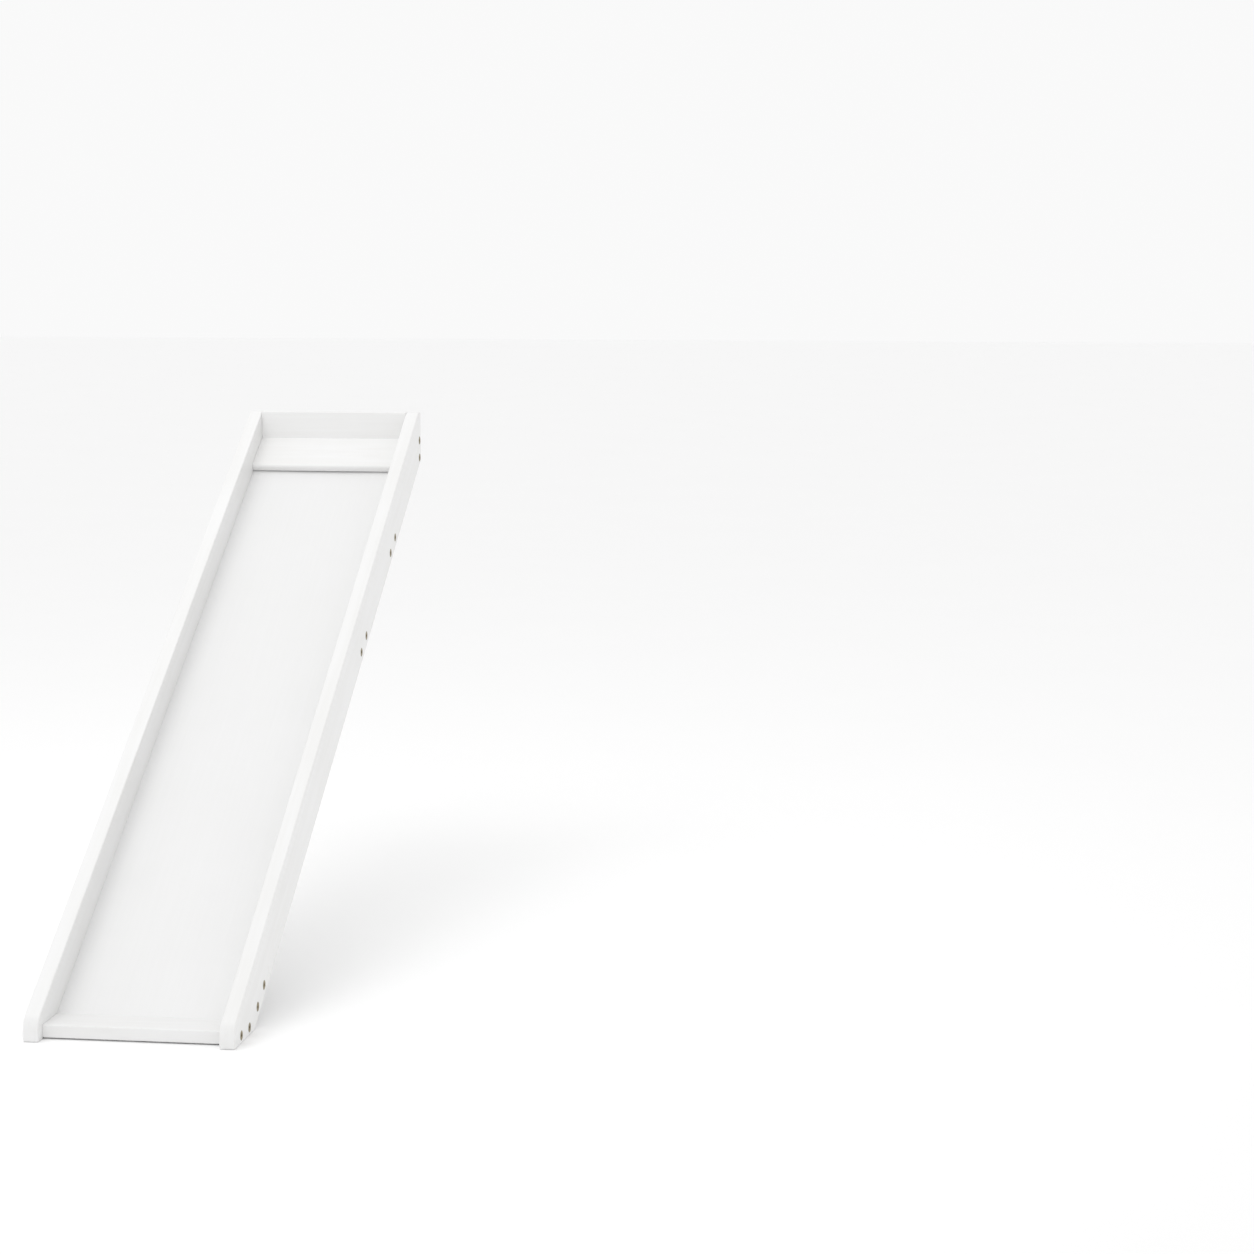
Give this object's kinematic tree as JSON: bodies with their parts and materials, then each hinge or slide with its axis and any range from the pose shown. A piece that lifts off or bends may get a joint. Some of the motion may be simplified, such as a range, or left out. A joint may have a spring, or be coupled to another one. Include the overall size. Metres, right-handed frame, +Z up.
{
  "type": "straight slide",
  "caption": "Straight slide for a low bunk bed, with plain side rails, a thin sliding panel let into them, and cross boards bolted and dowelled to the rails.",
  "frame": {"origin": "on the floor, under the middle of the slide: the middle of the bottom of its box", "axes": "+Y from the foot towards the bed, +Z up, +X to the right seen from the foot"},
  "size_m": [0.354, 1.494, 0.936],
  "materials": {
    "painted_wood": "satin white paint on pine",
    "panel_laminate": "smooth satin white lacquer on thin board",
    "bolt_brass": "antique brass plating",
    "nut_steel": "zinc plated",
    "dowel_wood": "bare beech",
    "insert_brass": "plain brass"
  },
  "bodies": {
    "root": {"left_side_rail": "painted_wood", "right_side_rail": "painted_wood", "top_board": "painted_wood", "header_board": "painted_wood", "foot_board": "painted_wood", "batten_1": "painted_wood", "batten_2": "painted_wood", "batten_3": "painted_wood", "batten_4": "painted_wood", "batten_5": "painted_wood", "slide_panel": "panel_laminate", "header_bolts": "bolt_brass", "foot_bolts": "bolt_brass", "batten_1_bolts": "bolt_brass", "batten_4_bolts": "bolt_brass", "batten_5_bolts": "bolt_brass", "header_barrel_nuts": "nut_steel", "foot_barrel_nuts": "nut_steel", "batten_1_barrel_nuts": "nut_steel", "batten_4_barrel_nuts": "nut_steel", "batten_5_barrel_nuts": "nut_steel", "top_board_dowels": "dowel_wood", "batten_2_dowels": "dowel_wood", "batten_3_dowels": "dowel_wood", "bed_inserts": "insert_brass"}
  },
  "joints": []
}
